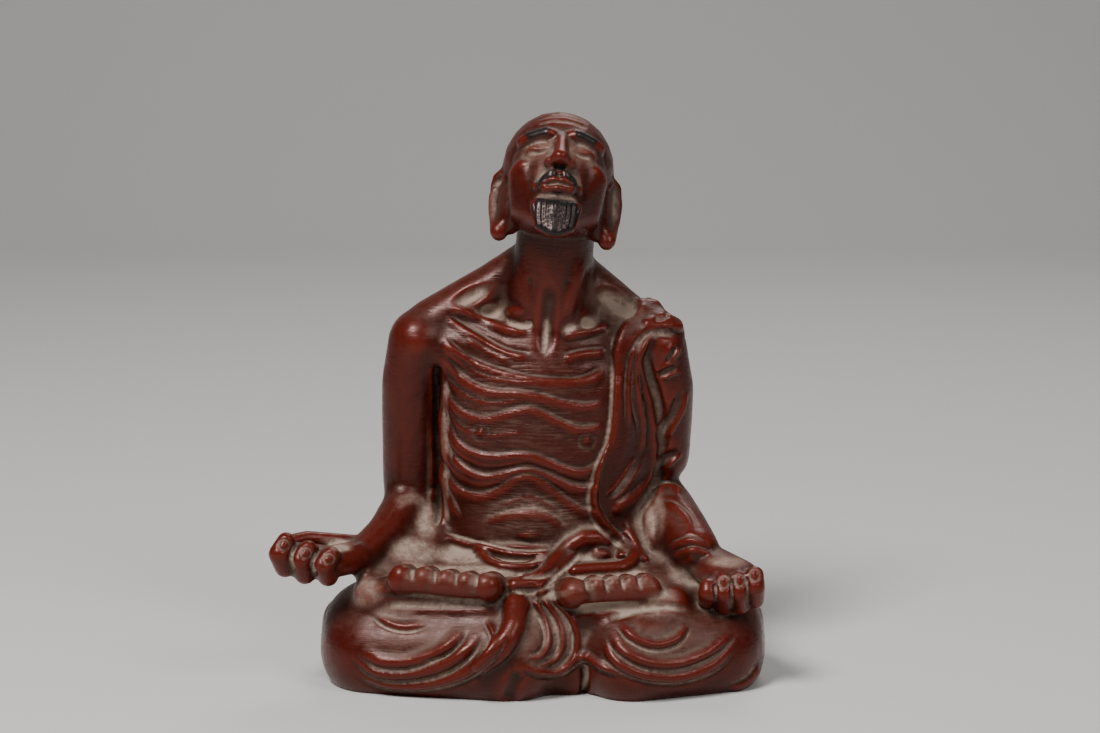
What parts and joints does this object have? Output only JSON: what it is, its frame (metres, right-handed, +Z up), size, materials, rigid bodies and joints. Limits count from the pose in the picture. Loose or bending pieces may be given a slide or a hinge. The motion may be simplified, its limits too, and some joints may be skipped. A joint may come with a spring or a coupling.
{
  "type": "arhat tea pet",
  "caption": "Seated arhat tea pet in glossy red stoneware, moulded in one piece: head thrown back, bare ribs, robe over one shoulder, hands open on crossed knees.",
  "frame": {"origin": "on the flat underside, under the middle of the crossed legs", "axes": "+Z up from the underside to the crown, -Y the way the figure faces, +X to the viewer's right"},
  "size_m": [0.0981, 0.0601, 0.1121],
  "materials": {
    "red_stoneware": "mahogany-red stoneware rubbed to a gloss on the crests, with beige-grey clay dust left in the hollows"
  },
  "bodies": {
    "root": {"arhat_figure": "red_stoneware"}
  },
  "joints": []
}
